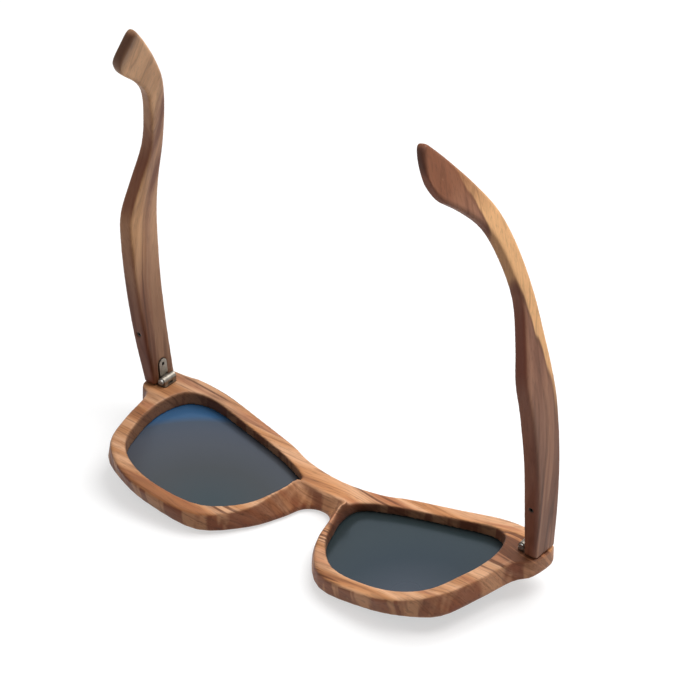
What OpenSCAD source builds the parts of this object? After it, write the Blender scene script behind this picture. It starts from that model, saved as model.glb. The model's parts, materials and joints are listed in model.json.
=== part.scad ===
// Wooden sunglasses lying on their front face with both temples open.
// +Z runs along the open temples, +Y towards the brow, +X to the wearer's right.
// The origin lies under the middle of the front, on the surface that it rests on.

/* [Lenses] */
// Width of a lens opening at its widest
lens_w = 50; // [46:0.5:56]
// Height of a lens opening at its tallest
lens_h = 39.5; // [36:0.5:42]
// Thickness of a lens
lens_t = 1.8; // [1.4:0.1:2.2]
// Distance between the two lens openings
bridge_w = 19; // [17:0.5:22]
// Depth of the groove that holds the lens edge
groove_d = 1; // [0.7:0.1:1.3]
// Play between a lens and its groove
lens_play = 0.1; // [0.05:0.05:0.15]
// How far the lens sits behind the front face
lens_inset = 1; // [0.9:0.1:1.4]
// Upright curve of a lens, as a radius
lens_curve_r = 265; // [200:5:600]

/* [Front] */
// Thickness of the front at the bridge
front_t = 6.4; // [6:0.1:8]
// Width of the rim above a lens
rim_top = 5.2; // [4:0.1:6]
// Width of the rim on the temple side of a lens
rim_side = 4.6; // [3.6:0.1:6]
// Width of the rim below a lens
rim_low = 4.6; // [4:0.1:6]
// Width of the rim beside the nose, at the crest of the nose pad
rim_nose = 1.1; // [1:0.1:1.6]
// Extra width of the nose rims at the front, for the sloping nose pads
nose_flare = 3.3; // [2.6:0.1:3.8]
// Height of a nose pad's crest above the back face
pad_h = 2.5; // [1:0.1:3.5]
// Height of the bridge at the back
bridge_h = 8.4; // [7:0.1:10]
// Depth by which the bridge reaches lower at the front
bridge_slope = 1.3; // [0.5:0.1:2]
// Dip of the brow at the bridge, below the top of the lens openings
brow_dip = 3.05; // [2:0.05:6]
// Extra width of the side rims at the front
side_flare = 0.8; // [0.4:0.1:1.2]
// Drawing in of the lower rims at the front
low_taper = 1.5; // [0:0.1:2]
// Rise of the front face at the end of its wrap
front_rise = 5.7; // [4:0.1:8]
// Rise of the back face at the end of its wrap
back_rise = 7.4; // [5:0.1:9]
// Distance from the middle at which the two rises are reached
wrap_half = 60; // [55:1:70]
// Steepness of the back face's wrap
back_power = 2.3; // [2:0.1:2.6]
// Rounding of the outer edges at the front
edge_front = 1.6; // [1:0.1:1.8]
// Rounding of the outer edges at the back
edge_back = 1; // [0.6:0.1:1.6]
// Rounding of the edges of a lens opening
edge_in = 0.5; // [0.3:0.1:0.6]
// Reach of an endpiece past its lens opening
end_reach = 10.8; // [10.2:0.1:12]
// Thickness of an endpiece at its end
end_t = 5.4; // [4.4:0.1:6.5]
// Height of an endpiece above the temple that meets it
end_over = 0.2; // [0.1:0.1:0.8]
// Depth of an endpiece below the temple that meets it
end_under = 1.4; // [1:0.1:3]
// Rounding of an endpiece's edges at the back
end_edge = 0.5; // [0.3:0.1:0.8]

/* [Temples] */
// Length of a temple along the way it points
temple_len = 127.5; // [115:0.5:140]
// Distance of a temple's hinge end below the top of the lens openings
hinge_dip = 3.15; // [2.6:0.05:5]
// Height of a temple at its hinge end
hinge_h = 8.9; // [8.2:0.1:10]
// Height of a temple at its belly
belly_h = 11.6; // [10:0.1:13]
// Height of a temple at its neck
neck_h = 5.7; // [5:0.1:7]
// Width of the flared tip
tip_h = 12.3; // [10:0.1:14]
// Thickness of a temple behind its hinge end
temple_t = 4.9; // [4.4:0.1:5.4]
// Thickness of a temple at its hinge end
hinge_t = 4.3; // [4:0.1:4.8]
// Thickness of a temple at its tip
tip_t = 2.9; // [2.6:0.1:3.4]
// Drop of the tip behind the ear
ear_drop = 30.4; // [24:0.2:36]
// Distance that the tip curves inwards
tip_in = 18.5; // [12:0.5:22]
// Distance that the temple bows outwards
bow = 2; // [0:0.1:3]
// Rounding of a temple's edges
temple_edge = 0.8; // [0.6:0.1:1.2]
// Step from the end of an endpiece to the temple's outer face
end_lip = 0.25; // [0.2:0.05:1]

/* [Hinges] */
// Radius of the hinge knuckles
knuckle_r = 1.2; // [1.1:0.05:1.3]
// Width of the middle knuckle
eye_w = 1.9; // [1.6:0.1:2.2]
// Width of each outer knuckle
cheek_w = 1.5; // [1.2:0.1:1.8]
// Gap between knuckles
knuckle_gap = 0.05; // [0.03:0.01:0.1]
// Gap between the knuckles and the temple's inner face
knuckle_clear = 0.3; // [0.2:0.05:0.4]
// Height of the hinge axis above the endpiece
axis_lift = 1.5; // [1.4:0.1:2]
// Distance of the hinge below the middle of the temple's end
hinge_low = 0.6; // [0:0.1:1]
// Radius of the pivot screw
pivot_r = 0.5; // [0.4:0.05:0.55]
// Clearance around the pivot screw
pivot_play = 0.05; // [0.02:0.01:0.08]
// Thickness of the front leaf's plate
leaf_t = 0.9; // [0.8:0.1:1.2]
// Height of the plate above the wood
leaf_proud = 0.3; // [0.2:0.05:0.4]
// Reach of the plate towards the nose, from the hinge axis
leaf_in = 1.3; // [1.3:0.1:2]
// Reach of the plate under the temple, from the hinge axis
leaf_out = 5; // [4.6:0.1:5.4]
// Radius of a leaf screw's shank
screw_r = 0.5; // [0.4:0.05:0.55]
// Length of a leaf screw under its head
screw_len = 3.2; // [2.4:0.1:3.6]
// Width of the housing's face
housing_w = 3.2; // [3:0.1:3.6]
// Length of the housing's face
housing_len = 5.2; // [4.5:0.1:6]
// Height of the housing's face above the temple's inner face
housing_proud = 0.4; // [0.2:0.1:0.5]
// Length of the spring chamber
chamber_len = 9.4; // [9:0.1:10]
// Radius of the spring chamber
chamber_r = 0.9; // [0.88:0.01:0.95]
// Wall around the spring chamber
chamber_wall = 0.25; // [0.2:0.01:0.3]
// Radius of the sliding rod
rod_r = 0.42; // [0.35:0.01:0.45]
// Thickness of the spring's wire
wire_d = 0.26; // [0.2:0.01:0.28]
// Turns of the spring
spring_turns = 8; // [6:1:8]
// Length of the spring when the temple rests on its stop
spring_len = 6; // [5.6:0.1:6.4]
// Distance from the hinge axis to the retaining pin
pin_height = 16.6; // [15:0.1:18]
// Outer radius of the retaining pin
pin_r = 0.7; // [0.6:0.05:0.8]
// Bore radius of the retaining pin
pin_bore_r = 0.4; // [0.3:0.05:0.45]
// Clearance of pieces seated in wood or metal
seat_play = 0.05; // [0.03:0.01:0.1]

/* [Hidden] */
$fn = 48;

// Smooth curves through a few points
steps = 4;
function blend(a, b, c, d, t) =
    0.5 * (2 * b + (c - a) * t + (2 * a - 5 * b + 4 * c - d) * t ^ 2 + (3 * b - a - 3 * c + d) * t ^ 3);
function closed_curve(p) = let (n = len(p))
    [for (i = [0:n - 1], k = [0:steps - 1])
        blend(p[(i + n - 1) % n], p[i], p[(i + 1) % n], p[(i + 2) % n], k / steps)];
function open_curve(before, p, after) = let (q = concat([before], p, [after]))
    [for (i = [1:len(p) - 1], k = [0:steps - 1]) blend(q[i - 1], q[i], q[i + 1], q[i + 2], k / steps)];
function unit(v) = v / norm(v);
function across(v) = [-v.y, v.x];
// Outward side of a closed outline that runs clockwise
function outward(p, i) = let (n = len(p))
    unit(across(p[(i + 1) % n] - p[(i + n - 1) % n]));
function mirrored(p) = [for (i = [0:len(p) - 1]) i == 0 ? -p[i] : p[i]];
function quad(a, b, c, d) = [[a, b, c], [a, c, d]];

// The lens opening, as shares of the lens width and height, clockwise from the brow beside the bridge
opening_shape = [[0.028, 0.285], [0.102, 0.34], [0.271, 0.41], [0.541, 0.47], [0.791, 0.5], [0.923, 0.44],
    [0.977, 0.33], [0.998, 0.21], [0.998, 0.09], [0.976, -0.085], [0.905, -0.335], [0.772, -0.46],
    [0.561, -0.5], [0.281, -0.45], [0.102, -0.235], [0.024, 0.005], [0.003, 0.116], [0, 0.185], [0.005, 0.24]];
opening = [for (s = opening_shape) [bridge_w / 2 + s.x * lens_w, s.y * lens_h]];

// The rim's outer outline, as [x and y at the back, x and y at the front, edge rounding at the back,
// lift of the opening's edge, lift of the outer edge, edge rounding at the front]
brow_mid = lens_h / 2 - brow_dip;
arch_back = brow_mid - bridge_h;
arch_front = arch_back - bridge_slope;
hinge_mid = lens_h / 2 - hinge_dip;
end_inner_x = bridge_w / 2 + lens_w;
end_x = end_inner_x + end_reach;
end_top = hinge_mid + hinge_h / 2 + end_over;
end_bottom = hinge_mid - hinge_h / 2 - end_under;
end_round = 0.4;
end_front = edge_front / 2;
shoulder = [1.8, 1.6];
throat = [6, -3.2];
throat_flare = unit([4, -3]) * side_flare;
pad_edge = 0.4;
// Points of the nose arch at the front, from its top
arch_side = [4.9, -3];
arch_turn = [2.5, -0.6];
function plain(x, y, edge, front) = [x, y, x, y, edge, 0, 0, front];
function rim(i, width, flare, edge = edge_back, low = 0, high = 0) = let (m = outward(opening, i))
    concat(opening[i] + m * width, opening[i] + m * (width + flare),
        [edge, low * pad_h, high * pad_h, edge_front]);
function pad(i, at_front, low, high) =
    concat(opening[i] + outward(opening, i) * rim_nose, at_front,
        [pad_edge, low * pad_h, high * pad_h, edge_front]);
outer = [
    plain(0, brow_mid, edge_back, edge_front),
    rim(1, rim_top, 0),
    rim(2, rim_top, 0),
    rim(3, rim_top, 0),
    rim(4, rim_top, 0),
    plain(end_inner_x + shoulder.x, end_top + shoulder.y, edge_back, edge_front),
    plain(end_x - end_round, end_top - end_round, end_edge, end_front),
    plain(end_x - end_round, end_bottom + 2 * end_round, end_edge, end_front),
    concat(throat + [end_inner_x, end_bottom], throat + throat_flare + [end_inner_x, end_bottom],
        [(edge_back + end_edge) / 2, 0, 0, end_front]),
    rim(9, rim_side, side_flare),
    rim(10, rim_side, side_flare),
    rim(11, rim_low, -low_taper),
    rim(12, rim_low, -low_taper),
    rim(13, rim_low, 0),
    rim(14, (rim_low + rim_nose) / 2, nose_flare / 3, (edge_back + pad_edge) / 2, 0.1, 0.15),
    rim(15, rim_nose, nose_flare, pad_edge, 0.35, 0.67),
    pad(16, arch_side + [0, arch_front], 0.4, 1),
    pad(17, arch_turn + [0, arch_front], 0.4, 0.85),
    [0, arch_back, 0, arch_front, edge_back, 0.2 * pad_h, 0, edge_front]];
last = len(outer) - 1;
opening_ring = closed_curve(opening);
function across_middle(row) = [-row[0], row[1], -row[2], row[3], row[4], row[5], row[6], row[7]];
outer_ring = concat(
    open_curve(across_middle(outer[1]), outer, across_middle(outer[last - 1])),
    [for (k = [0:steps - 1]) outer[last] + (outer[0] - outer[last]) * k / steps]);
back_ring = [for (row = outer_ring) [row[0], row[1]]];
front_ring = [for (row = outer_ring) [row[2], row[3]]];
ring_n = len(outer_ring);
// Sections from here on end on the middle plane of the bridge
plane_k = ring_n - steps;
ring_y = concat([for (p = back_ring) p.y], [for (p = front_ring) p.y]);
middle_y = (max(ring_y) + min(ring_y)) / 2;

// The wrapped faces of the front, and the lens that follows the front face
seat_z = front_rise * (end_x / wrap_half) ^ 2 + end_t;
function front_z(x) = front_rise * (x / wrap_half) ^ 2;
function back_z(x) = min(front_t + back_rise * (abs(x) / wrap_half) ^ back_power, seat_z);
function lens_z(p) = front_z(p.x) + lens_inset + p.y ^ 2 / (2 * lens_curve_r);
function on_back(p, depth) = [p.x, p.y, back_z(p.x) - depth];
function on_front(p, depth) = [p.x, p.y, front_z(p.x) + depth];
function on_lens(p, depth) = [p.x, p.y, lens_z(p) + depth];

// One section of the rim, from the opening's back edge round the outside to the lens groove
corner = 1 - sqrt(0.5);
function inward(ring, k) = k == 0 ? [0, -1] : k == plane_k ? [0, 1] : k > plane_k ? [0, 0]
    : -outward(ring, k);
function rim_section(k) = let (
        p = opening_ring[k],
        m = outward(opening_ring, k),
        q = back_ring[k],
        n = inward(back_ring, k),
        f = front_ring[k],
        g = inward(front_ring, k),
        r = outer_ring[k][4],
        low = outer_ring[k][5],
        high = outer_ring[k][6],
        e = outer_ring[k][7])
    [on_back(p, edge_in - low),
     on_back(p + m * edge_in * corner, edge_in * corner - low),
     on_back(p + m * edge_in, -low),
     on_back(q + n * r, -high),
     on_back(q + n * r * corner, r * corner - high),
     on_back(q, r - high),
     on_front(f, e),
     on_front(f + g * e * corner, e * corner),
     on_front(f + g * e, 0),
     on_front(p + m * edge_in, 0),
     on_front(p, edge_in),
     on_lens(p, -lens_play),
     on_lens(p + m * groove_d, -lens_play),
     on_lens(p + m * groove_d, lens_t + lens_play),
     on_lens(p, lens_t + lens_play)];
section_n = 15;
outer_from = 3;
outer_to = 8;
half_points = [for (k = [0:ring_n - 1]) each rim_section(k)];
function shared(k, j) = (k == 0 || k >= plane_k) && j >= outer_from && j <= outer_to;
function rim_index(side, k, j) = let (kk = k % ring_n, jj = j % section_n, i = kk * section_n + jj)
    side == 0 || shared(kk, jj) ? i : i + ring_n * section_n;
function open_plane(k, j) = k >= plane_k && j >= outer_from && j < outer_to;
frame_faces = [for (k = [0:ring_n - 1], j = [0:section_n - 1]) if (!open_plane(k, j))
    each concat(
        quad(rim_index(0, k, j), rim_index(0, k, j + 1),
            rim_index(0, k + 1, j + 1), rim_index(0, k + 1, j)),
        quad(rim_index(1, k, j), rim_index(1, k + 1, j),
            rim_index(1, k + 1, j + 1), rim_index(1, k, j + 1)))];

// The temple's path, as [share of length, drop, height of section, lean, step inwards, thickness]
function thin(share) = temple_t + (tip_t - temple_t) * share;
temple_shape = [
    [0, 0, hinge_h, 0, 0, hinge_t],
    [0.125, 0.055 * ear_drop, (2 * hinge_h + belly_h) / 3, 0, -0.65 * bow, temple_t],
    [0.26, 0.107 * ear_drop, (hinge_h + 2 * belly_h) / 3, 0, -bow, temple_t],
    [0.39, 0.16 * ear_drop, belly_h, 0, -0.75 * bow, thin(0.1)],
    [0.47, 0.193 * ear_drop, belly_h, 0, -0.15 * bow, thin(0.25)],
    [0.55, 0.176 * ear_drop, (belly_h + neck_h) / 2, 0, 0.092 * tip_in, thin(0.4)],
    [0.645, 0.16 * ear_drop, neck_h, 3, 0.25 * tip_in, thin(0.5)],
    [0.745, 0.24 * ear_drop, neck_h, 16, 0.427 * tip_in, thin(0.6)],
    [0.83, 0.373 * ear_drop, (9 * neck_h + tip_h) / 10, 30, 0.595 * tip_in, thin(0.7)],
    [0.895, 0.576 * ear_drop, (2 * neck_h + tip_h) / 3, 40, 0.746 * tip_in, thin(0.8)],
    [0.95, 0.796 * ear_drop, (neck_h + 2 * tip_h) / 3, 52, 0.88 * tip_in, thin(0.9)],
    [1, ear_drop, tip_h, 72, tip_in, tip_t]];
temple_last = len(temple_shape) - 1;
end_gap = 0.05;
temple_x = end_x - end_lip - hinge_t / 2;
temple_z = seat_z + leaf_proud + end_gap;
// Rounding of the tip's end: how far each ring stands out, is drawn in, is thinner and is moved up
tip_caps = [[0.6, 1.1, 0.3, 0.1], [0.9, 3, 0.6, 0.4]];
// Flat left between the rounded edges of a temple, each side of its middle
edge_flat = 0.2;
temple_rows = concat(
    open_curve(2 * temple_shape[0] - temple_shape[1], temple_shape,
        2 * temple_shape[temple_last] - temple_shape[temple_last - 1]),
    [temple_shape[temple_last]]);
function inward_slope(i) = let (
        a = temple_rows[max(i - 1, 0)],
        b = temple_rows[min(i + 1, len(temple_rows) - 1)])
    max(0, (b[4] - a[4]) / ((b[0] - a[0]) * temple_len));
function temple_ring(i, cap) = let (
        row = temple_rows[i],
        lean = row[3],
        slope = inward_slope(i),
        tall = [-slope * sin(lean), cos(lean), sin(lean)],
        thick = unit([1, 0, slope]),
        rise = [0, -sin(lean), cos(lean)],
        mid = [temple_x - row[4], hinge_mid - row[1], temple_z + row[0] * temple_len],
        c = mid + rise * cap[0] + tall * cap[3],
        a = row[5] / 2 - cap[2],
        b = row[2] / 2 - cap[1],
        r = min(temple_edge, a - edge_flat))
    [for (g = [[1, 1, 0], [-1, 1, 90], [-1, -1, 180], [1, -1, 270]], t = [0, 45, 90]) let (
            u = g.x * (a - r) + r * cos(g.z + t),
            v = g.y * (b - r) + r * sin(g.z + t))
        c + thick * u + tall * v];
row_n = len(temple_rows);
temple_rings = concat(
    [for (i = [0:row_n - 1]) temple_ring(i, [0, 0, 0, 0])],
    [for (cap = tip_caps) temple_ring(row_n - 1, cap)]);
temple_points = [for (r = temple_rings) each r];
temple_ring_n = len(temple_rings[0]);
temple_faces = let (n = temple_ring_n, top = len(temple_rings) - 1) concat(
    [for (i = [0:top - 1], j = [0:n - 1]) let (jj = (j + 1) % n)
        each quad(i * n + j, (i + 1) * n + j, (i + 1) * n + jj, i * n + jj)],
    [for (j = [1:n - 2]) [0, j, j + 1]],
    [for (j = [1:n - 2]) [top * n, top * n + j + 1, top * n + j]]);

// The hinge axis, and the lean of the temple's inner face beside it
splay = atan2(temple_shape[0][4] - temple_shape[1][4], temple_shape[1][0] * temple_len);
face_x = knuckle_r + knuckle_clear;
axis_z = seat_z + axis_lift;
axis_x = temple_x - hinge_t / 2 + (axis_z - temple_z) * tan(splay) - face_x / cos(splay);
hinge_y = hinge_mid - hinge_low;
fork_w = eye_w + 2 * cheek_w + 2 * knuckle_gap;

// The spring cartridge, seen from the hinge axis with its length along the temple
core_x = face_x + hinge_t / 2;
sleeve_r = chamber_r + chamber_wall;
face_back_x = core_x + sleeve_r;
mouth_z = 1;
face_round_z = mouth_z + housing_len - housing_w / 2;
bush_len = 0.8;
stop_len = 1.1;
spring_z = mouth_z + bush_len;
stop_z = spring_z + spring_len;
tang_end = pin_height + 1.5;
// The pin's ends: sunk into the temple's lower edge, and a little past the tang
pin_sunk = 0.3;
pin_share = (pin_height + axis_z - temple_z) / temple_len;
temple_foot = [for (row = temple_rows) [row[0], row[1] + row[2] / 2]];
pin_foot = hinge_low + pin_sunk - lookup(pin_share, temple_foot);
pin_past = 1.2;
pin_top = sleeve_r + pin_past;
slot_below = 4;

module on_side(side) {
    translate([0, -middle_y, 0]) {
        if (side < 0) {
            mirror([1, 0, 0]) children();
        } else {
            children();
        }
    }
}

module at_axis(lean) {
    translate([axis_x, hinge_y, axis_z]) rotate([0, lean, 0]) children();
}

module along_y(r, w) {
    rotate([90, 0, 0]) cylinder(r = r, h = w, center = true);
}

module block(x, y, z) {
    translate([x[0], y[0], z[0]]) cube([x[1] - x[0], y[1] - y[0], z[1] - z[0]]);
}

// A flat-sided hole that clears a round piece of the given radius
module drilled(r, h) {
    cylinder(r = (r + seat_play) / cos(22.5), h = h, $fn = 8);
}

screw_x = 3.4;
screw_y = 1.4;
head_r = 0.85;
head_h = 0.45;
plate_z = leaf_proud - axis_lift;

module leaf_pocket() {
    at_axis(0) {
        block([-leaf_in - seat_play, leaf_out + seat_play], [-fork_w / 2 - seat_play, fork_w / 2 + seat_play],
            [plate_z - leaf_t, plate_z + leaf_t]);
        for (y = [-screw_y, screw_y]) {
            translate([screw_x, y, plate_z - head_h - screw_len - seat_play]) drilled(screw_r, screw_len);
        }
    }
}

module front_frame() {
    color("peru") difference() {
        translate([0, -middle_y, 0])
            polyhedron(concat(half_points, [for (p = half_points) mirrored(p)]), frame_faces);
        for (side = [-1, 1]) {
            on_side(side) leaf_pocket();
        }
    }
}

lens_rings = [1, 0.7, 0.35];
lens_edge = [for (k = [0:ring_n - 1]) opening_ring[k] + outward(opening_ring, k) * (groove_d - lens_play)];
lens_mid = [bridge_w / 2 + lens_w / 2, 0];
lens_points = concat(
    [for (h = [0, lens_t], s = lens_rings, p = lens_edge) on_lens(lens_mid + (p - lens_mid) * s, h)],
    [for (h = [0, lens_t]) on_lens(lens_mid, h)]);
lens_faces = let (n = ring_n, rings = len(lens_rings), back = rings * n, mid = 2 * rings * n) concat(
    [for (i = [0:rings - 2], j = [0:n - 1]) let (jj = (j + 1) % n, a = i * n, b = (i + 1) * n)
        each concat(quad(a + j, b + j, b + jj, a + jj),
            quad(back + a + j, back + a + jj, back + b + jj, back + b + j))],
    [for (j = [0:n - 1]) let (jj = (j + 1) % n, a = (rings - 1) * n)
        each [[a + j, mid, a + jj], [back + a + j, back + a + jj, mid + 1]]],
    [for (j = [0:n - 1]) let (jj = (j + 1) % n) each quad(j, jj, back + jj, back + j)]);

module lens(side) {
    color([0.2, 0.24, 0.28, 0.9]) on_side(side) polyhedron(lens_points, lens_faces);
}

// The slot for the housing's face and the mortise for its sleeve and tang
module cartridge_slot() {
    at_axis(splay) {
        block([0, face_back_x + seat_play], [-housing_w / 2 - seat_play, housing_w / 2 + seat_play],
            [-slot_below, face_round_z]);
        translate([0, 0, face_round_z]) rotate([0, 90, 0])
            cylinder(r = housing_w / 2 + 2 * seat_play, h = face_back_x + seat_play);
        block([core_x - sleeve_r - seat_play, face_back_x + seat_play],
            [-sleeve_r - seat_play, sleeve_r + seat_play], [0, tang_end + seat_play]);
        translate([core_x, pin_top + seat_play, pin_height]) rotate([90, 0, 0]) drilled(pin_r, 2 * belly_h);
    }
}

module temple(side) {
    color("sienna") on_side(side) difference() {
        polyhedron(temple_points, temple_faces);
        cartridge_slot();
    }
}

module hinge_leaf(side) {
    color("silver") on_side(side) at_axis(0) difference() {
        union() {
            block([-leaf_in, leaf_out], [-fork_w / 2, fork_w / 2], [plate_z - leaf_t, plate_z]);
            for (s = [-1, 1]) {
                translate([0, s * (fork_w - cheek_w) / 2, 0]) {
                    along_y(knuckle_r, cheek_w);
                    block([-knuckle_r, knuckle_r], [-cheek_w / 2, cheek_w / 2], [plate_z - leaf_t / 2, 0]);
                }
            }
        }
        along_y(pivot_r + seat_play / 2, 2 * fork_w);
        for (y = [-screw_y, screw_y]) {
            translate([screw_x, y, plate_z - head_h]) cylinder(r = head_r + seat_play, h = leaf_t);
            translate([screw_x, y, plate_z - 2 * leaf_t]) cylinder(r = screw_r + seat_play, h = 2 * leaf_t);
        }
    }
}

slot_w = 0.28;
slot_d = 0.22;

module leaf_screw(side, y) {
    color("gainsboro") on_side(side) at_axis(0) translate([screw_x, y, plate_z]) difference() {
        union() {
            translate([0, 0, -head_h]) cylinder(r = head_r, h = head_h);
            translate([0, 0, -head_h - screw_len]) cylinder(r = screw_r, h = screw_len + head_h / 2);
        }
        block([-head_r, head_r], [-slot_w / 2, slot_w / 2], [-slot_d, slot_d]);
    }
}

pivot_head_r = 0.9;
pivot_head_h = 0.6;

module pivot_screw(side) {
    color("gainsboro") on_side(side) at_axis(0) difference() {
        union() {
            translate([0, -pivot_head_h / 4, 0]) along_y(pivot_r, fork_w + pivot_head_h / 2);
            translate([0, -(fork_w + pivot_head_h) / 2, 0]) along_y(pivot_head_r, pivot_head_h);
        }
        translate([0, -fork_w / 2 - pivot_head_h, 0])
            block([-pivot_head_r, pivot_head_r], [-slot_d, slot_d], [-slot_w / 2, slot_w / 2]);
    }
}

neck_z = [-0.7, 0.85];
riser_half = 0.75;
riser_top = mouth_z - 0.1;

module spring_core(side) {
    color("silver") on_side(side) at_axis(splay) difference() {
        union() {
            along_y(knuckle_r, eye_w);
            block([0, core_x + riser_half], [-eye_w / 2, eye_w / 2], neck_z);
            block([core_x - riser_half, core_x + riser_half], [-riser_half, riser_half], [0, riser_top]);
            translate([core_x, 0, 0]) cylinder(r = rod_r, h = stop_z + stop_len);
        }
        along_y(pivot_r + pivot_play, 2 * eye_w);
    }
}

module core_stop(side) {
    color("gainsboro") on_side(side) at_axis(splay) translate([core_x, 0, stop_z]) difference() {
        cylinder(r = chamber_r - seat_play, h = stop_len);
        translate([0, 0, -1]) cylinder(r = rod_r + seat_play / 2, h = stop_len + 2);
    }
}

// The spring as one tube round the rod
coil_r = (chamber_r + rod_r) / 2;
turn_sides = 8;
wire_sides = 6;
coil_n = spring_turns * turn_sides;
coil_rise = spring_len - wire_d - 2 * seat_play;
coil_points = [for (i = [0:coil_n], j = [0:wire_sides - 1]) let (
        a = 360 * i / turn_sides,
        b = 360 * j / wire_sides,
        r = coil_r + wire_d / 2 * cos(b),
        z = spring_z + wire_d / 2 + seat_play + coil_rise * i / coil_n)
    [r * cos(a), r * sin(a), z + wire_d / 2 * sin(b)]];
coil_faces = concat(
    [for (i = [0:coil_n - 1], j = [0:wire_sides - 1]) let (jj = (j + 1) % wire_sides)
        each quad(i * wire_sides + j, i * wire_sides + jj,
            (i + 1) * wire_sides + jj, (i + 1) * wire_sides + j)],
    [for (j = [1:wire_sides - 2]) [0, j + 1, j]],
    [for (j = [1:wire_sides - 2]) let (e = coil_n * wire_sides) [e, e + j, e + j + 1]]);

module coil_spring(side) {
    color("dimgray") on_side(side) at_axis(splay) translate([core_x, 0, 0])
        polyhedron(coil_points, coil_faces);
}

module housing_bush(side) {
    color("gainsboro") on_side(side) at_axis(splay) translate([core_x, 0, mouth_z]) difference() {
        cylinder(r = chamber_r - seat_play / 2, h = bush_len);
        translate([0, 0, -1]) cylinder(r = rod_r + seat_play, h = bush_len + 2);
    }
}

sight_r = 0.55;

module hinge_housing(side) {
    color("silver") on_side(side) at_axis(splay) difference() {
        union() {
            block([face_x - housing_proud, face_back_x], [-housing_w / 2, housing_w / 2],
                [mouth_z, face_round_z]);
            translate([face_x - housing_proud, 0, face_round_z]) rotate([0, 90, 0])
                cylinder(r = housing_w / 2, h = face_back_x - face_x + housing_proud);
            block([core_x - sleeve_r, face_back_x], [-sleeve_r, sleeve_r], [mouth_z, tang_end]);
        }
        translate([core_x, 0, mouth_z - 1]) cylinder(r = chamber_r, h = chamber_len + 1);
        translate([0, 0, face_round_z]) rotate([0, 90, 0]) cylinder(r = sight_r, h = core_x);
        translate([core_x, 0, pin_height]) along_y(pin_r + seat_play, 4 * sleeve_r);
    }
}

module retaining_pin(side) {
    color("gainsboro") on_side(side) at_axis(splay)
        translate([core_x, (pin_top + pin_foot) / 2, pin_height]) difference() {
            along_y(pin_r, pin_top - pin_foot);
            along_y(pin_bore_r, 2 * hinge_h);
        }
}

front_frame();
lens(-1);  // left_lens
lens(1);  // right_lens
temple(-1);  // left_temple
temple(1);  // right_temple
hinge_leaf(-1);  // left_hinge_leaf
hinge_leaf(1);  // right_hinge_leaf
leaf_screw(-1, screw_y);  // left_upper_leaf_screw
leaf_screw(1, screw_y);  // right_upper_leaf_screw
leaf_screw(-1, -screw_y);  // left_lower_leaf_screw
leaf_screw(1, -screw_y);  // right_lower_leaf_screw
pivot_screw(-1);  // left_pivot_screw
pivot_screw(1);  // right_pivot_screw
spring_core(-1);  // left_spring_core
spring_core(1);  // right_spring_core
core_stop(-1);  // left_core_stop
core_stop(1);  // right_core_stop
coil_spring(-1);  // left_coil_spring
coil_spring(1);  // right_coil_spring
housing_bush(-1);  // left_housing_bush
housing_bush(1);  // right_housing_bush
hinge_housing(-1);  // left_hinge_housing
hinge_housing(1);  // right_hinge_housing
retaining_pin(-1);  // left_retaining_pin
retaining_pin(1);  // right_retaining_pin
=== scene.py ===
import json
import math

import bmesh
import bpy
import numpy as np
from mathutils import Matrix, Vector
from mathutils.kdtree import KDTree


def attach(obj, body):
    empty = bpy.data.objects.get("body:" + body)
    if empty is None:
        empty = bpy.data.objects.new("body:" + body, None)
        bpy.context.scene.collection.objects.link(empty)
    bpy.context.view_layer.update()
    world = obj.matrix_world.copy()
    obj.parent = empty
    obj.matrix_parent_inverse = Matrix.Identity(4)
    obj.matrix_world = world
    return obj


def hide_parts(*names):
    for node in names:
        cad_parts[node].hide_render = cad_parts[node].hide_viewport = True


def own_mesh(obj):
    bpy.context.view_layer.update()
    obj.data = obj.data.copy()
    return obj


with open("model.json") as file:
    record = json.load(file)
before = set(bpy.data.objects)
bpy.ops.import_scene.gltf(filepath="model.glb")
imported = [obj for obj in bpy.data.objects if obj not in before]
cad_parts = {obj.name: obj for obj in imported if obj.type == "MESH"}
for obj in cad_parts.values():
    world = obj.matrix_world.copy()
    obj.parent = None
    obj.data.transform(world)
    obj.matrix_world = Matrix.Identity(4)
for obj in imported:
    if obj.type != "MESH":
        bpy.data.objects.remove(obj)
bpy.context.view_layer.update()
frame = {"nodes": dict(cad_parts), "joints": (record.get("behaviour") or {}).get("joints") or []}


# The front: both rims, the bridge, the nose pads and the endpieces, milled from one board of olive wood.
# The board's grain runs from temple to temple, and its growth layers lean back from the brow, so they cross
# the side rims as short dark bars. The edges are eased by hand, and the wood is sanded and oiled.
def mm(value):
    return value / 1000


def in_scene(name, data):
    """An object of the scene, made from a mesh, a lamp or a camera."""
    made = bpy.data.objects.new(name, data)
    bpy.context.scene.collection.objects.link(made)
    return made


def piece_from(work, name):
    """An object made from a finished working mesh."""
    mesh = bpy.data.meshes.new(name)
    work.to_mesh(mesh)
    work.free()
    return in_scene(name, mesh)


def rub(piece, name, passes, where=""):
    """Rubs a piece smoother, all over or as far as a group of its points says."""
    rubbing = piece.modifiers.new(name, "SMOOTH")
    rubbing.factor = 0.5
    rubbing.iterations = passes
    rubbing.vertex_group = where


def sanded_copy(node, body, name):
    """A copy of a milled CAD piece with its facets and sharp edges sanded into one smooth skin."""
    same_point = mm(0.004)
    skin_step = mm(0.3)
    work = bmesh.new()
    work.from_mesh(frame["nodes"][node].data)
    bmesh.ops.remove_doubles(work, verts=work.verts, dist=same_point)
    piece = piece_from(work, name)
    skin = piece.modifiers.new("skin", "REMESH")
    skin.mode = "VOXEL"
    skin.voxel_size = skin_step
    skin.use_smooth_shade = True
    rub(piece, "sanding", passes=4)
    sanded = piece.evaluated_get(bpy.context.evaluated_depsgraph_get())
    piece.data = bpy.data.meshes.new_from_object(sanded)
    piece.modifiers.clear()
    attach(piece, body)
    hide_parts(node)
    return piece


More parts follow.
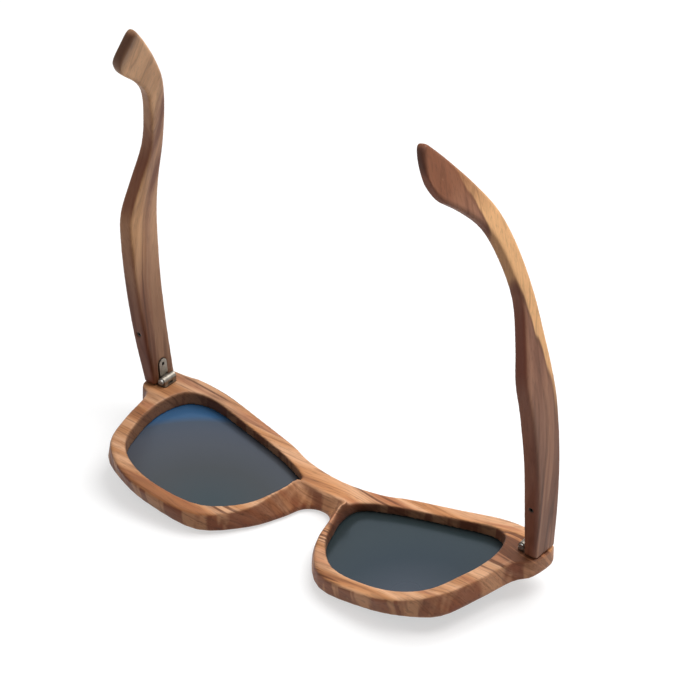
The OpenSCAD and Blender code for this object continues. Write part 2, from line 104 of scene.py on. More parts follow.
def points_of(piece):
    flat = np.empty(3 * len(piece.data.vertices))
    piece.data.vertices.foreach_get("co", flat)
    return flat.reshape(-1, 3)


def fade(values, start, end):
    """From 0 where the values are at the start to 1 where they reach the end."""
    return np.clip((values - start) / (end - start), 0, 1)


front = sanded_copy("front_frame", "front", "front")
points = points_of(front)
aside = np.abs(points[:, 0])
height = points[:, 1]
depth = points[:, 2]
# The tops of the nose pads run out into the bridge, and are rubbed smooth there
run_out_aside = mm(11)
run_out_height = mm(6)
rubbed_reach = mm(9)
rubbed_fade = mm(4)
from_run_out = np.hypot(aside - run_out_aside, height - run_out_height)
run_outs = front.vertex_groups.new(name="run_outs")
for share in (0.25, 0.5, 0.75, 1.0):
    near = np.flatnonzero(from_run_out < rubbed_reach - rubbed_fade * share)
    run_outs.add(near.tolist(), share, "REPLACE")
rub(front, "rubbing", passes=50, where="run_outs")
# The lower rims are sanded rounder than the brow, outside a ledge that is left flat round each lens
lens_points = [v.co for side in ("left", "right") for v in frame["nodes"][side + "_lens"].data.vertices]
lens_tree = KDTree(len(lens_points))
for index, point in enumerate(lens_points):
    lens_tree.insert((point.x, point.y, 0), index)
lens_tree.balance()
from_lens = np.array([lens_tree.find((x, y, 0))[2] for x, y, z in points])
past_ledge = fade(from_lens, mm(1.6), mm(3.2))
below_brow = fade(height, mm(9), mm(5))
inside_ends = fade(aside, mm(57), mm(54))
# The crests of the nose pads are rounded too, but less
on_crest = fade(depth, mm(5.5), mm(6.5)) * fade(aside, mm(19), mm(16))
crest_share = 0.6
rounder = np.maximum(past_ledge * below_brow * inside_ends, crest_share * on_crest)
lower_rims = front.vertex_groups.new(name="lower_rims")
share_step = 0.2
for share in (0.2, 0.4, 0.6, 0.8, 1.0):
    reached = np.flatnonzero(rounder > share - share_step / 2)
    lower_rims.add(reached.tolist(), share, "REPLACE")
rub(front, "rounding", passes=24, where="lower_rims")


def linear(hex_colour):
    channels = [int(hex_colour[i:i + 2], 16) / 255 for i in (1, 3, 5)]
    return [c / 12.92 if c <= 0.04045 else ((c + 0.055) / 1.055) ** 2.4 for c in channels] + [1.0]


def add(tree, kind, inputs=None, stops=(), **settings):
    """Adds a node with its settings and colour stops. Its inputs take values, sockets or earlier nodes."""
    made = tree.nodes.new("ShaderNode" + kind)
    for key, value in settings.items():
        setattr(made, key, value)
    for index, (position, colour) in enumerate(stops):
        # A ramp starts with two stops
        ramp = made.color_ramp.elements
        stop = ramp[index] if index < 2 else ramp.new(position)
        stop.position = position
        stop.color = linear(colour)
    for key, value in (inputs or {}).items():
        if isinstance(key, str):
            key = next(i for i, socket in enumerate(made.inputs) if socket.enabled and socket.name == key)
        if isinstance(value, bpy.types.Node):
            value = next(socket for socket in value.outputs if socket.enabled)
        if isinstance(value, bpy.types.NodeSocket):
            tree.links.new(value, made.inputs[key])
        else:
            made.inputs[key].default_value = value
    return made


def new_material(name):
    material = bpy.data.materials.new(name)
    material.use_nodes = True
    material.node_tree.nodes.clear()
    return material, material.node_tree


def grain_layer(tree, place, size, turn, shift, detail):
    """One layer of a wood's grain: a noise with the layer's size and shift along its three ways, in mm."""
    at = add(tree, "Mapping", {"Vector": place, "Location": [mm(v) for v in shift], "Rotation": turn,
                               "Scale": [mm(v) for v in size]}, vector_type="TEXTURE")
    return add(tree, "TexNoise", {"Vector": at, "Scale": 1.0, "Detail": detail})


def growth_line(tree, layer, width, strength):
    """Thin lines where a layer of the grain passes its middle value."""
    from_line = add(tree, "Math", {0: layer, 1: 0.5}, operation="SUBTRACT")
    from_line = add(tree, "Math", {0: from_line}, operation="ABSOLUTE")
    return add(tree, "MapRange", {"Value": from_line, "From Min": 0.004, "From Max": width,
                                  "To Min": strength, "To Max": 0.0}, interpolation_type="SMOOTHSTEP")


def fibre_and_pores(tree, grain, dark_fibre, pale_fibre, dark_pore):
    """How much darker or paler the fine fibres and the open pores make the wood."""
    fibre = add(tree, "MapRange", {"Value": grain["fibre"], "From Min": 0.3, "From Max": 0.7,
                                   "To Min": dark_fibre, "To Max": pale_fibre})
    pores = add(tree, "MapRange", {"Value": grain["pores"], "From Min": 0.3, "From Max": 0.4,
                                   "To Min": dark_pore, "To Max": 1.0})
    return fibre, pores


def oiled_surface(tree, colour, grain, fibre, pores, rubbed_from, rubbed_to, rubbed_share, rubbed_colour):
    """Satin wood with the relief of its fibres and pores. Hands and cloths rub its edges paler."""
    corners = add(tree, "NewGeometry").outputs["Pointiness"]
    rubbed = add(tree, "MapRange", {"Value": corners, "From Min": rubbed_from, "From Max": rubbed_to,
                                    "To Max": rubbed_share})
    worn = add(tree, "Mix", {"Factor": rubbed, "A": colour, "B": linear(rubbed_colour)}, data_type="RGBA")
    roughness = add(tree, "MapRange", {"Value": grain["fibre"], "To Min": 0.42, "To Max": 0.6})
    relief = add(tree, "Math", {0: fibre, 1: pores}, operation="ADD")
    bump = add(tree, "Bump", {"Height": relief, "Strength": 0.3, "Distance": mm(0.06)})
    surface = add(tree, "BsdfPrincipled", {"Base Color": worn, "Roughness": roughness, "Normal": bump,
                                           "Specular IOR Level": 0.25})
    add(tree, "OutputMaterial", {"Surface": surface})


# Olive wood, sanded and oiled: warm tan with reddish and brown streaks, dark growth lines and short pores.
olive, tree = new_material("oiled_olive_wood")
coordinates = add(tree, "TexCoord")
place = coordinates.outputs["Object"]
normal = coordinates.outputs["Normal"]
layer_lean = (math.radians(35), 0, 0)
sway = grain_layer(tree, place, size=(45, 20, 20), turn=layer_lean, shift=(0, 0, 0), detail=1.0)
wavy = add(tree, "VectorMath", {0: sway.outputs["Color"], 1: (0, mm(8), mm(8)), 2: place},
           operation="MULTIPLY_ADD")
# Each layer's length along the board, width across the growth layers and depth through them, and its detail
grain = {}
for name, size, detail in (
        ("bands", (95, 6, 30), 2.0),
        ("zones", (38, 7, 24), 1.0),
        ("bars", (130, 1.15, 20), 1.0),
        ("red", (44, 4.5, 24), 1.0),
        ("lines", (120, 4.2, 26), 1.0),
        ("fibre", (22, 0.6, 4), 2.0),
        ("pores", (3.6, 0.3, 0.9), 0.0),
        ("flame", (4.0, 26, 26), 2.0)):
    grain[name] = grain_layer(tree, wavy, size, turn=layer_lean, shift=(7, 23, 11), detail=detail)
bands = add(tree, "ValToRGB", {"Fac": grain["bands"]}, stops=(
    (0.33, "#A3683F"), (0.43, "#C48859"), (0.49, "#D39A6E"), (0.57, "#DEAA82"), (0.68, "#C48A5E")))
red_share = add(tree, "MapRange", {"Value": grain["red"], "From Min": 0.56, "From Max": 0.64,
                                   "To Max": 0.55})
reddened = add(tree, "Mix", {"Factor": red_share, "A": bands, "B": linear("#A05A38")}, data_type="RGBA")
# The walls are cut across the layers and show a redder flame. It is partly painted shade: darkest on walls
# that face down, least on walls that face the brow
_, facing_y, facing_z = add(tree, "SeparateXYZ", {0: normal}).outputs
flatness = add(tree, "Math", {0: facing_z}, operation="ABSOLUTE")
wall = add(tree, "MapRange", {"Value": flatness, "From Min": 0.75, "From Max": 0.35, "To Max": 0.8})
brow_side = add(tree, "MapRange", {"Value": facing_y, "From Min": 0.1, "From Max": 0.7, "To Min": 1.0,
                                   "To Max": 0.45})
wall = add(tree, "Math", {0: wall, 1: brow_side}, operation="MULTIPLY")
flame_share = add(tree, "MapRange", {"Value": grain["flame"], "From Min": 0.46, "From Max": 0.54})
flame = add(tree, "Mix", {"Factor": flame_share, "A": linear("#C08A66"), "B": linear("#7A3F2A")},
            data_type="RGBA")
walled = add(tree, "Mix", {"Factor": wall, "A": reddened, "B": flame}, data_type="RGBA")
# Dark growth bars gather in groups, fainter on the walls, with thinner lines between the groups
zone = add(tree, "MapRange", {"Value": grain["zones"], "From Min": 0.55, "From Max": 0.61})
bar = add(tree, "MapRange", {"Value": grain["bars"], "From Min": 0.5, "From Max": 0.6, "To Max": 0.85},
          interpolation_type="SMOOTHSTEP")
bar = add(tree, "Math", {0: bar, 1: zone}, operation="MULTIPLY")
fainter = add(tree, "MapRange", {"Value": wall, "To Min": 1.0, "To Max": 0.4})
bar = add(tree, "Math", {0: bar, 1: fainter}, operation="MULTIPLY")
line = growth_line(tree, grain["lines"], width=0.03, strength=0.35)
dark = add(tree, "Math", {0: bar, 1: line}, operation="MAXIMUM")
lined = add(tree, "Mix", {"Factor": dark, "A": walled, "B": linear("#63371F")}, data_type="RGBA")
fibre, pores = fibre_and_pores(tree, grain, dark_fibre=0.87, pale_fibre=1.08, dark_pore=0.78)
tone = add(tree, "Math", {0: fibre, 1: pores}, operation="MULTIPLY")
# The board is a little darker towards its left end
x = add(tree, "SeparateXYZ", {0: place}).outputs["X"]
end_tone = add(tree, "MapRange", {"Value": x, "From Min": mm(-60), "From Max": 0.0, "To Min": 0.74,
                                  "To Max": 1.0})
tone = add(tree, "Math", {0: tone, 1: end_tone}, operation="MULTIPLY")
streaked = add(tree, "VectorMath", {0: lined, "Scale": tone}, operation="SCALE")
# Painted shade: the walls of the lens openings, where they face in towards the lens, are painted darker
lens_aside = mm(34.5)
lens_height = mm(-0.3)
side_sign = add(tree, "Math", {0: x}, operation="SIGN")
lens_x = add(tree, "Math", {0: side_sign, 1: lens_aside}, operation="MULTIPLY")
lens_middle = add(tree, "CombineXYZ", {0: lens_x, 1: lens_height})
inwards = add(tree, "VectorMath", {0: lens_middle, 1: place}, operation="SUBTRACT")
inwards = add(tree, "VectorMath", {0: inwards, 1: (1, 1, 0)}, operation="MULTIPLY")
inwards = add(tree, "VectorMath", {0: inwards}, operation="NORMALIZE")
inner = add(tree, "VectorMath", {0: inwards, 1: normal}, operation="DOT_PRODUCT")
opening_shade = add(tree, "MapRange", {"Value": inner, "From Min": 0.35, "From Max": 0.75, "To Max": 0.45})
opening_shaded = add(tree, "Mix", {"Factor": opening_shade, "A": streaked, "B": linear("#351D11")}, data_type="RGBA")
oiled_surface(tree, opening_shaded, grain, fibre, pores, rubbed_from=0.52, rubbed_to=0.60, rubbed_share=0.2,
              rubbed_colour="#D8A882")
front.data.materials.append(olive)


# The lenses: tinted glass, ground to a curve, edged to the openings and pressed into grooves in the rims.
# A thin coating against glare on their backs turns bright reflections blue.
def lens_curve(flat):
    """The terms that add up to a lens's curve, at places across the lens."""
    return np.stack([np.ones(len(flat)), flat[:, 0] ** 2, flat[:, 1], flat[:, 1] ** 2], 1)


def ground_lens(node, name, rings=12):
    """A lens with smooth faces: the CAD lens's outline, filled with rings on the curve of its faces."""
    source = frame["nodes"][node].data
    points = np.array([v.co for v in source.vertices])
    bend, *_ = np.linalg.lstsq(lens_curve(points), points[:, 2], rcond=None)
    half_thick = np.abs(points[:, 2] - lens_curve(points) @ bend).max()
    edge_points = {i for face in source.polygons if abs(face.normal.z) < 0.5 for i in face.vertices}
    edge = np.unique(np.round(points[list(edge_points), :2], 7), axis=0)
    centre = (edge.min(0) + edge.max(0)) / 2
    edge = edge[np.argsort(np.arctan2(*(edge - centre).T))]
    if edge[:, 0].mean() < 0:
        edge = edge[::-1]
    corners = range(len(edge))
    work = bmesh.new()
    outlines = []
    for side in (-1, 1):
        rows = []
        for step in range(rings):
            flat = centre + (edge - centre) * (1 - step / rings)
            heights = lens_curve(flat) @ bend + side * half_thick
            rows.append([work.verts.new((x, y, z)) for (x, y), z in zip(flat, heights)])
        hub_height = (lens_curve(centre[None]) @ bend)[0] + side * half_thick
        hub = work.verts.new((centre[0], centre[1], hub_height))
        for outer, inner in zip(rows, rows[1:]):
            for i in corners:
                work.faces.new((outer[i - 1], outer[i], inner[i], inner[i - 1]))
        for i in corners:
            work.faces.new((rows[-1][i - 1], rows[-1][i], hub))
        outlines.append(rows[0])
    for i in corners:
        work.faces.new((outlines[0][i - 1], outlines[0][i], outlines[1][i], outlines[1][i - 1]))
    bmesh.ops.recalc_face_normals(work, faces=work.faces)
    for face in work.faces:
        face.smooth = True
    sharp_angle = math.radians(40)
    for fold in work.edges:
        fold.smooth = fold.calc_face_angle(0) < sharp_angle
    lens = piece_from(work, name)
    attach(lens, "front")
    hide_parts(node)
    return lens


# Grey tinted glass, polished: dark and a little see-through. The colours that the coating reflects are
# painted
# into the glass as a painted reflection: on the left lens an arc from dull teal through grey to blue at the
# brow, the right one an even teal. Wiping leaves some haze.
coating = {
    "left": ((0.0, "#303D3F"), (0.45, "#404140"), (0.7, "#484A4F"), (0.84, "#484C55"), (0.94, "#434C59"),
             (1.0, "#33597F")),
    "right": ((0.0, "#3D4550"), (0.45, "#24333B"), (0.75, "#2D393C"), (1.0, "#2E393B"))}
arc_shift = mm(11)
arc_height = mm(-14)
arc_reach = mm(40)
for side, middle_x in (("left", -lens_aside), ("right", lens_aside)):
    lens = ground_lens(side + "_lens", side + "_tinted_lens")
    glass, tree = new_material("polished_tinted_glass_" + side)
    place = add(tree, "TexCoord").outputs["Object"]
    flat = add(tree, "VectorMath", {0: place, 1: (1, 1, 0)}, operation="MULTIPLY")
    arc_middle = (middle_x + arc_shift, arc_height, 0)
    spread = add(tree, "VectorMath", {0: flat, 1: arc_middle}, operation="DISTANCE")
    share = add(tree, "MapRange", {"Value": spread, "From Max": arc_reach})
    # The glass's own grey tint, with the coating's reflection painted over it
    tint_and_reflection = add(tree, "ValToRGB", {"Fac": share}, stops=coating[side])
    smears = add(tree, "TexNoise", {"Vector": place, "Scale": 1 / mm(9), "Detail": 3.0})
    haze = add(tree, "MapRange", {"Value": smears, "To Min": 0.18, "To Max": 0.26})
    surface = add(tree, "BsdfPrincipled", {
        "Base Color": tint_and_reflection, "Roughness": haze, "IOR": 1.52, "Specular Tint": linear("#B4CFF0"),
        "Transmission Weight": 0.2})
    add(tree, "OutputMaterial", {"Surface": surface})
    lens.data.materials.append(glass)


# The temples: each cut from a strip of walnut, steam-bent inwards and shaped to a belly, a neck and a flared
# tip. The grain runs along the strip. Paler sapwood shows on the right one's bend and the left one's belly.
# The tips hook down: outwards leads to a tip's end, and upwards across it to its upper edge
tip_lean = math.radians(72)
outwards = (0, -math.sin(tip_lean), math.cos(tip_lean))
upwards = (0, math.cos(tip_lean), math.sin(tip_lean))


def round_corner(points, edge_side, radius):
    """Rounds one corner of a temple's tip: the lower one for an edge side of 1, the upper one for -1."""
    from_end = (points @ outwards).max() - points @ outwards
    level = edge_side * (points @ upwards)
    # The edge is taken as straight between two places along the tip
    near = mm(1.2)
    far = mm(9)
    reach = mm(0.5)
    near_level, far_level = [level[np.abs(from_end - place) < reach].min() for place in (near, far)]
    slope = (far_level - near_level) / (far - near)
    steep = math.hypot(1, slope)
    from_edge = (level - near_level - slope * (from_end - near)) / steep
    # The square corner between the end and the edge is drawn in to a quarter of a circle
    overshoot = 1.2
    past_end = np.clip(1 - from_end / radius, 0, overshoot)
    past_edge = np.clip(1 - from_edge / radius, 0, overshoot)
    end_step = radius * past_end * (1 - np.sqrt(1 - past_edge ** 2 / 2))
    edge_step = radius * past_edge * (1 - np.sqrt(1 - past_end ** 2 / 2))
    level_step = steep * edge_step + slope * end_step
    # The points slide along the tip's faces, which lean inwards
    tip_length = mm(14)
    at_tip = from_end < tip_length
    flat = np.stack([np.ones(at_tip.sum()), from_end[at_tip], level[at_tip]], 1)
    lean, *_ = np.linalg.lstsq(flat, points[at_tip, 0], rcond=None)
    points += np.outer(edge_side * level_step, upwards) - np.outer(end_step, outwards)
    points[:, 0] += lean[1] * end_step + lean[2] * level_step


# What differs between the two strips. Sapwood lies above (1) or below (-1) a border line, which is given by
# its height, slope and curve at the middle of the temple. Lengths are in mm, and shares go from 0 to 1.
strips = {
    "left": {
        "seed": 41.0,
        "band_colours": ("#84543C", "#B58567", "#CFA07C"),
        "layer_turn": 28,
        "sap_side": -1,
        "sap_height": 10.5,
        "sap_slope": -0.08,
        "sap_curve": 0.0,
        "sap_from": 46,
        "sap_share": 0.5,
        "sap_softness": 2.2,
        "border_share": 0.0,
        "heart_shares": (0.62, 0.97),
        "tip_red": 0.05,
        "edge_shade": 0.5,
        "end_reach": 5.5,
        "lower_round": 4.5},
    "right": {
        "seed": 83.0,
        "band_colours": ("#825743", "#986B54", "#A5765C"),
        "layer_turn": -28,
        "sap_side": 1,
        "sap_height": 14.8,
        "sap_slope": -0.15,
        "sap_curve": -0.002,
        "sap_from": 56,
        "sap_share": 0.95,
        "sap_softness": 0.45,
        "border_share": 0.5,
        "heart_shares": (0.0, 0.55),
        "tip_red": 0.75,
        "edge_shade": 0.45,
        "end_reach": 1.6,
        "lower_round": 8.5}}
upper_round = mm(2.5)
middle_z = mm(69.4)
sap_fade = mm(18)
neck_z = mm(84)
for side, strip in strips.items():
    temple = sanded_copy(side + "_temple", side + "_arm", side + "_wooden_temple")
    points = points_of(temple)
    tip_end = (points @ outwards).max()
    round_corner(points, 1, mm(strip["lower_round"]))
    round_corner(points, -1, upper_round)
    temple.data.vertices.foreach_set("co", points.ravel())
    # Walnut, sanded and oiled: broad brown streaks, a darker heart at the hinge, dark end grain at the tip.
    walnut, tree = new_material("oiled_walnut_" + side)
    coordinates = add(tree, "TexCoord")
    place = coordinates.outputs["Object"]
    normal = coordinates.outputs["Normal"]
    seed = strip["seed"]
    layer_turn = (0, 0, math.radians(strip["layer_turn"]))
    sway = grain_layer(tree, place, size=(14, 14, 50), turn=(0, 0, 0), shift=(0, 0, seed), detail=1.0)
    wavy = add(tree, "VectorMath", {0: sway.outputs["Color"], 1: (mm(4), mm(5), 0), 2: place},
               operation="MULTIPLY_ADD")
    # Each layer's depth through the strip, width across it and length along it, and its detail
    grain = {}
    for name, size, detail in (
            ("bands", (9, 4, 130), 2.0),
            ("heart", (10, 3, 60), 1.0),
            ("lines", (9, 5, 140), 1.0),
            ("fibre", (1.4, 0.6, 26), 2.0),
            ("pores", (0.6, 0.3, 4), 0.0)):
        grain[name] = grain_layer(tree, wavy, size, turn=layer_turn, shift=(seed, seed, seed), detail=detail)
    dark_band, brown_band, pale_band = strip["band_colours"]
    bands = add(tree, "ValToRGB", {"Fac": grain["bands"]}, stops=(
        (0.36, dark_band), (0.48, brown_band), (0.62, pale_band)))
    # Sapwood lies past a border that falls along the temple, and on the right one the border shows dark
    _, y, z = add(tree, "SeparateXYZ", {0: place}).outputs
    way = add(tree, "Math", {0: z, 1: middle_z}, operation="SUBTRACT")
    fall = add(tree, "Math", {0: way, 1: strip["sap_curve"] / mm(1), 2: strip["sap_slope"]},
               operation="MULTIPLY_ADD")
    border_y = add(tree, "Math", {0: fall, 1: way, 2: mm(strip["sap_height"])}, operation="MULTIPLY_ADD")
    past = add(tree, "Math", {0: y, 1: border_y}, operation="SUBTRACT")
    past = add(tree, "Math", {0: past, 1: strip["sap_side"]}, operation="MULTIPLY")
    ragged = add(tree, "Math", {0: grain["heart"], 1: mm(3), 2: mm(-1.5)}, operation="MULTIPLY_ADD")
    past = add(tree, "Math", {0: past, 1: ragged}, operation="ADD")
    begins = add(tree, "MapRange", {"Value": z, "From Min": mm(strip["sap_from"]),
                                    "From Max": mm(strip["sap_from"]) + sap_fade})
    sap_share = add(tree, "MapRange", {"Value": past, "From Min": mm(-strip["sap_softness"]),
                                       "From Max": mm(strip["sap_softness"]), "To Max": strip["sap_share"]},
                    interpolation_type="SMOOTHSTEP")
    sap_share = add(tree, "Math", {0: sap_share, 1: begins}, operation="MULTIPLY")
    sapped = add(tree, "Mix", {"Factor": sap_share, "A": bands, "B": linear("#F4BC84")}, data_type="RGBA")
    from_border = add(tree, "Math", {0: past, 1: mm(-0.5)}, operation="SUBTRACT")
    from_border = add(tree, "Math", {0: from_border}, operation="ABSOLUTE")
    border = add(tree, "MapRange", {"Value": from_border, "From Min": mm(0.1), "From Max": mm(0.7),
                                    "To Min": strip["border_share"], "To Max": 0.0})
    border = add(tree, "Math", {0: border, 1: begins}, operation="MULTIPLY")
    bordered = add(tree, "Mix", {"Factor": border, "A": sapped, "B": linear("#6B4630")}, data_type="RGBA")
    # The heart of the strip is darker towards the hinge, and redder at the tip
    hingewards = add(tree, "MapRange", {"Value": z, "From Min": mm(68), "From Max": mm(38)})
    least_heart, most_heart = strip["heart_shares"]
    heart = add(tree, "MapRange", {"Value": grain["heart"], "From Min": 0.46, "From Max": 0.55,
                                   "To Min": least_heart, "To Max": most_heart})
    heart = add(tree, "Math", {0: heart, 1: hingewards}, operation="MULTIPLY")
    hearted = add(tree, "Mix", {"Factor": heart, "A": bordered, "B": linear("#62361E")}, data_type="RGBA")
    tipwards = add(tree, "MapRange", {"Value": z, "From Min": mm(122), "From Max": mm(134),
                                      "To Max": strip["tip_red"]})
    tipped = add(tree, "Mix", {"Factor": tipwards, "A": hearted, "B": linear("#8A5336")}, data_type="RGBA")
    line = growth_line(tree, grain["lines"], width=0.05, strength=0.25)
    stronger = add(tree, "Math", {0: hingewards, 1: 1.6, 2: 1.0}, operation="MULTIPLY_ADD")
    line = add(tree, "Math", {0: line, 1: stronger}, operation="MULTIPLY")
    lined = add(tree, "Mix", {"Factor": line, "A": tipped, "B": linear("#56331F")}, data_type="RGBA")
    fibre, pores = fibre_and_pores(tree, grain, dark_fibre=0.92, pale_fibre=1.06, dark_pore=0.85)
    tone = add(tree, "Math", {0: fibre, 1: pores}, operation="MULTIPLY")
    streaked = add(tree, "VectorMath", {0: lined, "Scale": tone}, operation="SCALE")
    # Painted shade: the lower edge, which faces down, is painted darker, most of all at the neck. The sawn
    # end is darkest
    facing_y = add(tree, "SeparateXYZ", {0: normal}).outputs["Y"]
    lower_edge = add(tree, "MapRange", {"Value": facing_y, "From Min": -0.4, "From Max": -0.9})
    from_neck = add(tree, "Math", {0: z, 1: neck_z}, operation="SUBTRACT")
    from_neck = add(tree, "Math", {0: from_neck}, operation="ABSOLUTE")
    shade_by_neck = add(tree, "MapRange", {"Value": from_neck, "From Min": mm(7), "From Max": mm(13), "To Min": 0.8,
                                    "To Max": strip["edge_shade"]})
    lower_shade = add(tree, "Math", {0: lower_edge, 1: shade_by_neck}, operation="MULTIPLY")
    oiled = add(tree, "Mix", {"Factor": lower_shade, "A": streaked, "B": linear("#6A3120")}, data_type="RGBA")
    endwards = add(tree, "VectorMath", {0: place, 1: outwards}, operation="DOT_PRODUCT")
    end_grain = add(tree, "MapRange", {"Value": endwards, "From Min": tip_end - mm(strip["end_reach"]),
                                       "From Max": tip_end - mm(0.4), "To Max": 0.8})
    ended = add(tree, "Mix", {"Factor": end_grain, "A": oiled, "B": linear("#45261A")}, data_type="RGBA")
    oiled_surface(tree, ended, grain, fibre, pores, rubbed_from=0.53, rubbed_to=0.62, rubbed_share=0.15,
                  rubbed_colour="#B98E70")
    temple.data.materials.append(walnut)


# The hinges: stamped and turned brass parts with steel screws, stops, bushes and pins, let into the wood.
# The metal that shows is the leaf on the endpiece, the knuckles and the housing in the temple's inner face.
# Each metal has a name, the size of its marks in mm and their detail, two colours and a roughness for each.
metals = {}
for name, mark_size, detail, dark, pale, dark_rough, pale_rough in (
        # Brass, polished in a barrel and nickel-plated: bright and slightly warm, with small scuffs.
        ("barrel_polished_nickel", 0.9, 4.0, "#5E5850", "#A8A196", 0.5, 0.3),
        # Steel, drawn and turned: grey, with fine turning marks that spread the shine.
        ("turned_steel", 0.25, 3.0, "#7C7B79", "#B4B2AE", 0.3, 0.45),
        # Steel, blued in a flame: nearly black, with a dull shine and traces of scale.
        ("flame_blued_steel", 0.4, 3.0, "#1F1C1A", "#4A4540", 0.35, 0.6)):
    metals[name], tree = new_material(name)
    place = add(tree, "TexCoord").outputs["Object"]
    marks = add(tree, "TexNoise", {"Vector": place, "Scale": 1 / mm(mark_size), "Detail": detail})
    shade = add(tree, "Mix", {"Factor": marks, "A": linear(dark), "B": linear(pale)}, data_type="RGBA")
    roughness = add(tree, "MapRange", {"Value": marks, "To Min": dark_rough, "To Max": pale_rough})
    surface = add(tree, "BsdfPrincipled", {"Base Color": shade, "Roughness": roughness, "Metallic": 1.0})
    add(tree, "OutputMaterial", {"Surface": surface})
metal_pieces = {
    "barrel_polished_nickel": ("hinge_leaf", "spring_core", "hinge_housing"),
    "turned_steel": ("upper_leaf_screw", "lower_leaf_screw", "pivot_screw", "core_stop", "housing_bush"),
    "flame_blued_steel": ("retaining_pin",)}
sharp_angle = math.radians(30)
for side in ("left", "right"):
    for metal, names in metal_pieces.items():
        for name in names:
            mesh = frame["nodes"][side + "_" + name].data
            mesh.materials.clear()
            mesh.materials.append(metals[metal])
            mesh.shade_smooth()
            mesh.set_sharp_from_angle(angle=sharp_angle)


# The springs: steel wire wound round each hinge's core, between the bush in the housing's mouth and the stop
# on the core. Each one moves with its core. In the real hinge it shortens as its temple is pulled away from
# the front.
def wound_spring(side, turns=8, turn_steps=24, wire_steps=10):
    """Winds a spring in the place of the CAD coil, along the joint that shortens it."""
    joint = next(j for j in frame["joints"] if j["name"] == side + "_flex")
    lengthwise = Vector(joint["axis"]).normalized()
    across = lengthwise.orthogonal().normalized()
    beside = lengthwise.cross(across)
    # The coil's points as seen along its axis, and the middle of their extent
    points = points_of(frame["nodes"][side + "_coil_spring"]) @ np.array((across, beside, lengthwise)).T
    centre = (points.min(0) + points.max(0)) / 2
    middle = across * centre[0] + beside * centre[1] + lengthwise * centre[2]
    from_axis = np.hypot(*(points - centre)[:, :2].T)
    coil_radius = (from_axis.min() + from_axis.max()) / 2
    wire_radius = (from_axis.max() - from_axis.min()) / 2
    spring_length = np.ptp(points[:, 2])
    rise_half = spring_length / 2 - wire_radius
    work = bmesh.new()
    rings = []
    for step in range(turns * turn_steps + 1):
        angle = 2 * math.pi * step / turn_steps
        outward = across * math.cos(angle) + beside * math.sin(angle)
        rise = rise_half * (2 * step / (turns * turn_steps) - 1)
        ring = []
        for wire_step in range(wire_steps):
            wire_angle = 2 * math.pi * wire_step / wire_steps
            radius = coil_radius + wire_radius * math.cos(wire_angle)
            along = rise + wire_radius * math.sin(wire_angle)
            ring.append(work.verts.new(middle + outward * radius + lengthwise * along))
        rings.append(ring)
    for ring, next_ring in zip(rings, rings[1:]):
        for i in range(wire_steps):
            work.faces.new((ring[i - 1], ring[i], next_ring[i], next_ring[i - 1])).smooth = True
    work.faces.new(rings[0])
    work.faces.new(rings[-1])
    bmesh.ops.recalc_face_normals(work, faces=work.faces)
    spring = piece_from(work, side + "_wound_spring")
    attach(spring, side + "_core")
    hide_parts(side + "_coil_spring")
    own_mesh(spring)
    return spring


for side in ("left", "right"):
    spring = wound_spring(side)
    spring.data.materials.append(metals["turned_steel"])


# The table and the studio: a sheet of white paper, and a large soft lamp overhead, a little towards the brow
# and to the right. The room is brighter on the left, so the walls that face right stay darker.
def seen_ray(tree):
    """1 for a ray that shows the background: from the camera, or by way of shiny or clear surfaces."""
    rays = add(tree, "LightPath")
    seen = add(tree, "Math", {0: rays.outputs["Is Camera Ray"], 1: rays.outputs["Is Glossy Ray"]},
               operation="MAXIMUM")
    return add(tree, "Math", {0: seen, 1: rays.outputs["Is Transmission Ray"]}, operation="MAXIMUM")


white = (1, 1, 1, 1)
sheet = 3.0
floor_mesh = bpy.data.meshes.new("floor")
floor_mesh.from_pydata([(-sheet, -sheet, 0), (sheet, -sheet, 0), (sheet, sheet, 0), (-sheet, sheet, 0)], [],
                       [(0, 1, 2, 3)])
floor = in_scene("floor", floor_mesh)
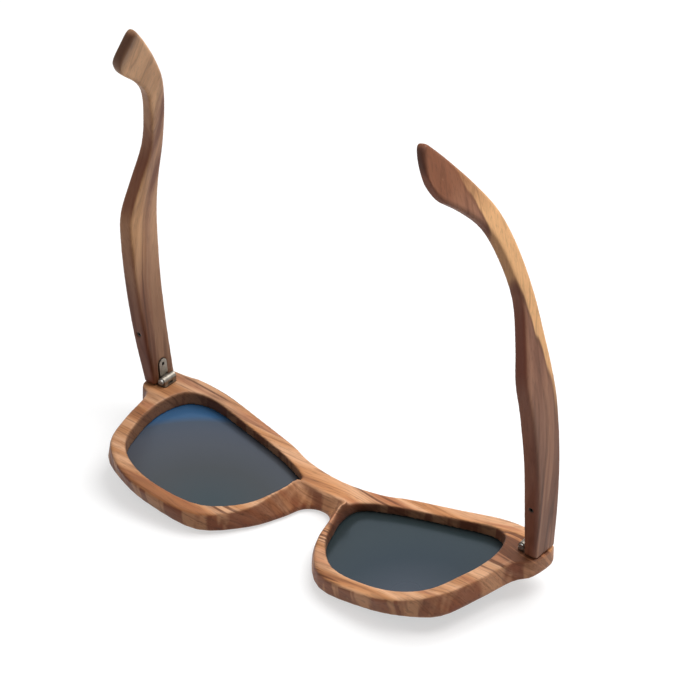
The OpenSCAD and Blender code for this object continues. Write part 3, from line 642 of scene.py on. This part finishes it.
# Matt white paper: it keeps the soft shadow near the glasses, and further off it is lit up to a plain white.
paper, tree = new_material("white_paper")
seen = seen_ray(tree)
distance = add(tree, "VectorMath", {0: add(tree, "TexCoord").outputs["Object"]}, operation="LENGTH")
glow = add(tree, "MapRange", {"Value": distance, "From Min": 0.4, "From Max": 1.2, "To Min": 0.56,
                              "To Max": 0.95})
glow = add(tree, "Math", {0: seen, 1: glow}, operation="MULTIPLY")
surface = add(tree, "BsdfPrincipled", {"Base Color": linear("#B4B4B4"), "Roughness": 0.9,
                                       "Emission Color": white, "Emission Strength": glow})
add(tree, "OutputMaterial", {"Surface": surface})
floor.data.materials.append(paper)

# The room's soft light on the glasses, and the white backdrop that shows past the sheet
world = bpy.data.worlds.new("studio")
bpy.context.scene.world = world
world.use_nodes = True
tree = world.node_tree
tree.nodes.clear()
seen = seen_ray(tree)
round_room = add(tree, "TexCoord").outputs["Generated"]
bright_side = (-0.97, 0.24, 0)
leftwards = add(tree, "VectorMath", {0: round_room, 1: bright_side}, operation="DOT_PRODUCT")
room_light = add(tree, "MapRange", {"Value": leftwards, "From Min": -0.8, "From Max": 0.8, "To Min": 0.15,
                                    "To Max": 0.6})
z = add(tree, "SeparateXYZ", {0: round_room}).outputs["Z"]
backdrop = add(tree, "MapRange", {"Value": z, "From Min": 0.4, "From Max": 0.62, "To Min": 0.75})
level = add(tree, "Mix", {"Factor": seen, "A": room_light, "B": backdrop})
sky = add(tree, "Background", {"Color": white, "Strength": level})
add(tree, "OutputWorld", {"Surface": sky})

lamp_data = bpy.data.lights.new("overhead_softbox", "AREA")
lamp_data.shape = "RECTANGLE"
lamp_data.size = 0.9
lamp_data.size_y = 0.8
lamp_data.energy = 12.0
lamp = in_scene("overhead_softbox", lamp_data)
lamp_aim = Vector((0, 0, 0.05))
lamp.location = (0.25, 0.35, 0.95)
lamp.rotation_euler = (lamp_aim - lamp.location).to_track_quat("-Z", "Y").to_euler()

# The camera stands where the photograph was taken from, as found from the outlines in it
camera_data = bpy.data.cameras.new("camera")
camera_data.sensor_width = 36.0
camera_data.lens = 182.50
camera = in_scene("camera", camera_data)
turn = math.radians(38.1625)
rise = math.radians(33.5149)
camera_distance = mm(983.122)
camera_aim = Vector((mm(-1.192), mm(21.135), mm(47.556)))
back = Vector((math.sin(turn) * math.cos(rise), -math.cos(turn) * math.cos(rise), math.sin(rise)))
camera.location = camera_aim + back * camera_distance
camera.rotation_euler = (-back).to_track_quat("-Z", "Y").to_euler()
bpy.context.scene.camera = camera
bpy.context.scene.view_settings.view_transform = "Standard"
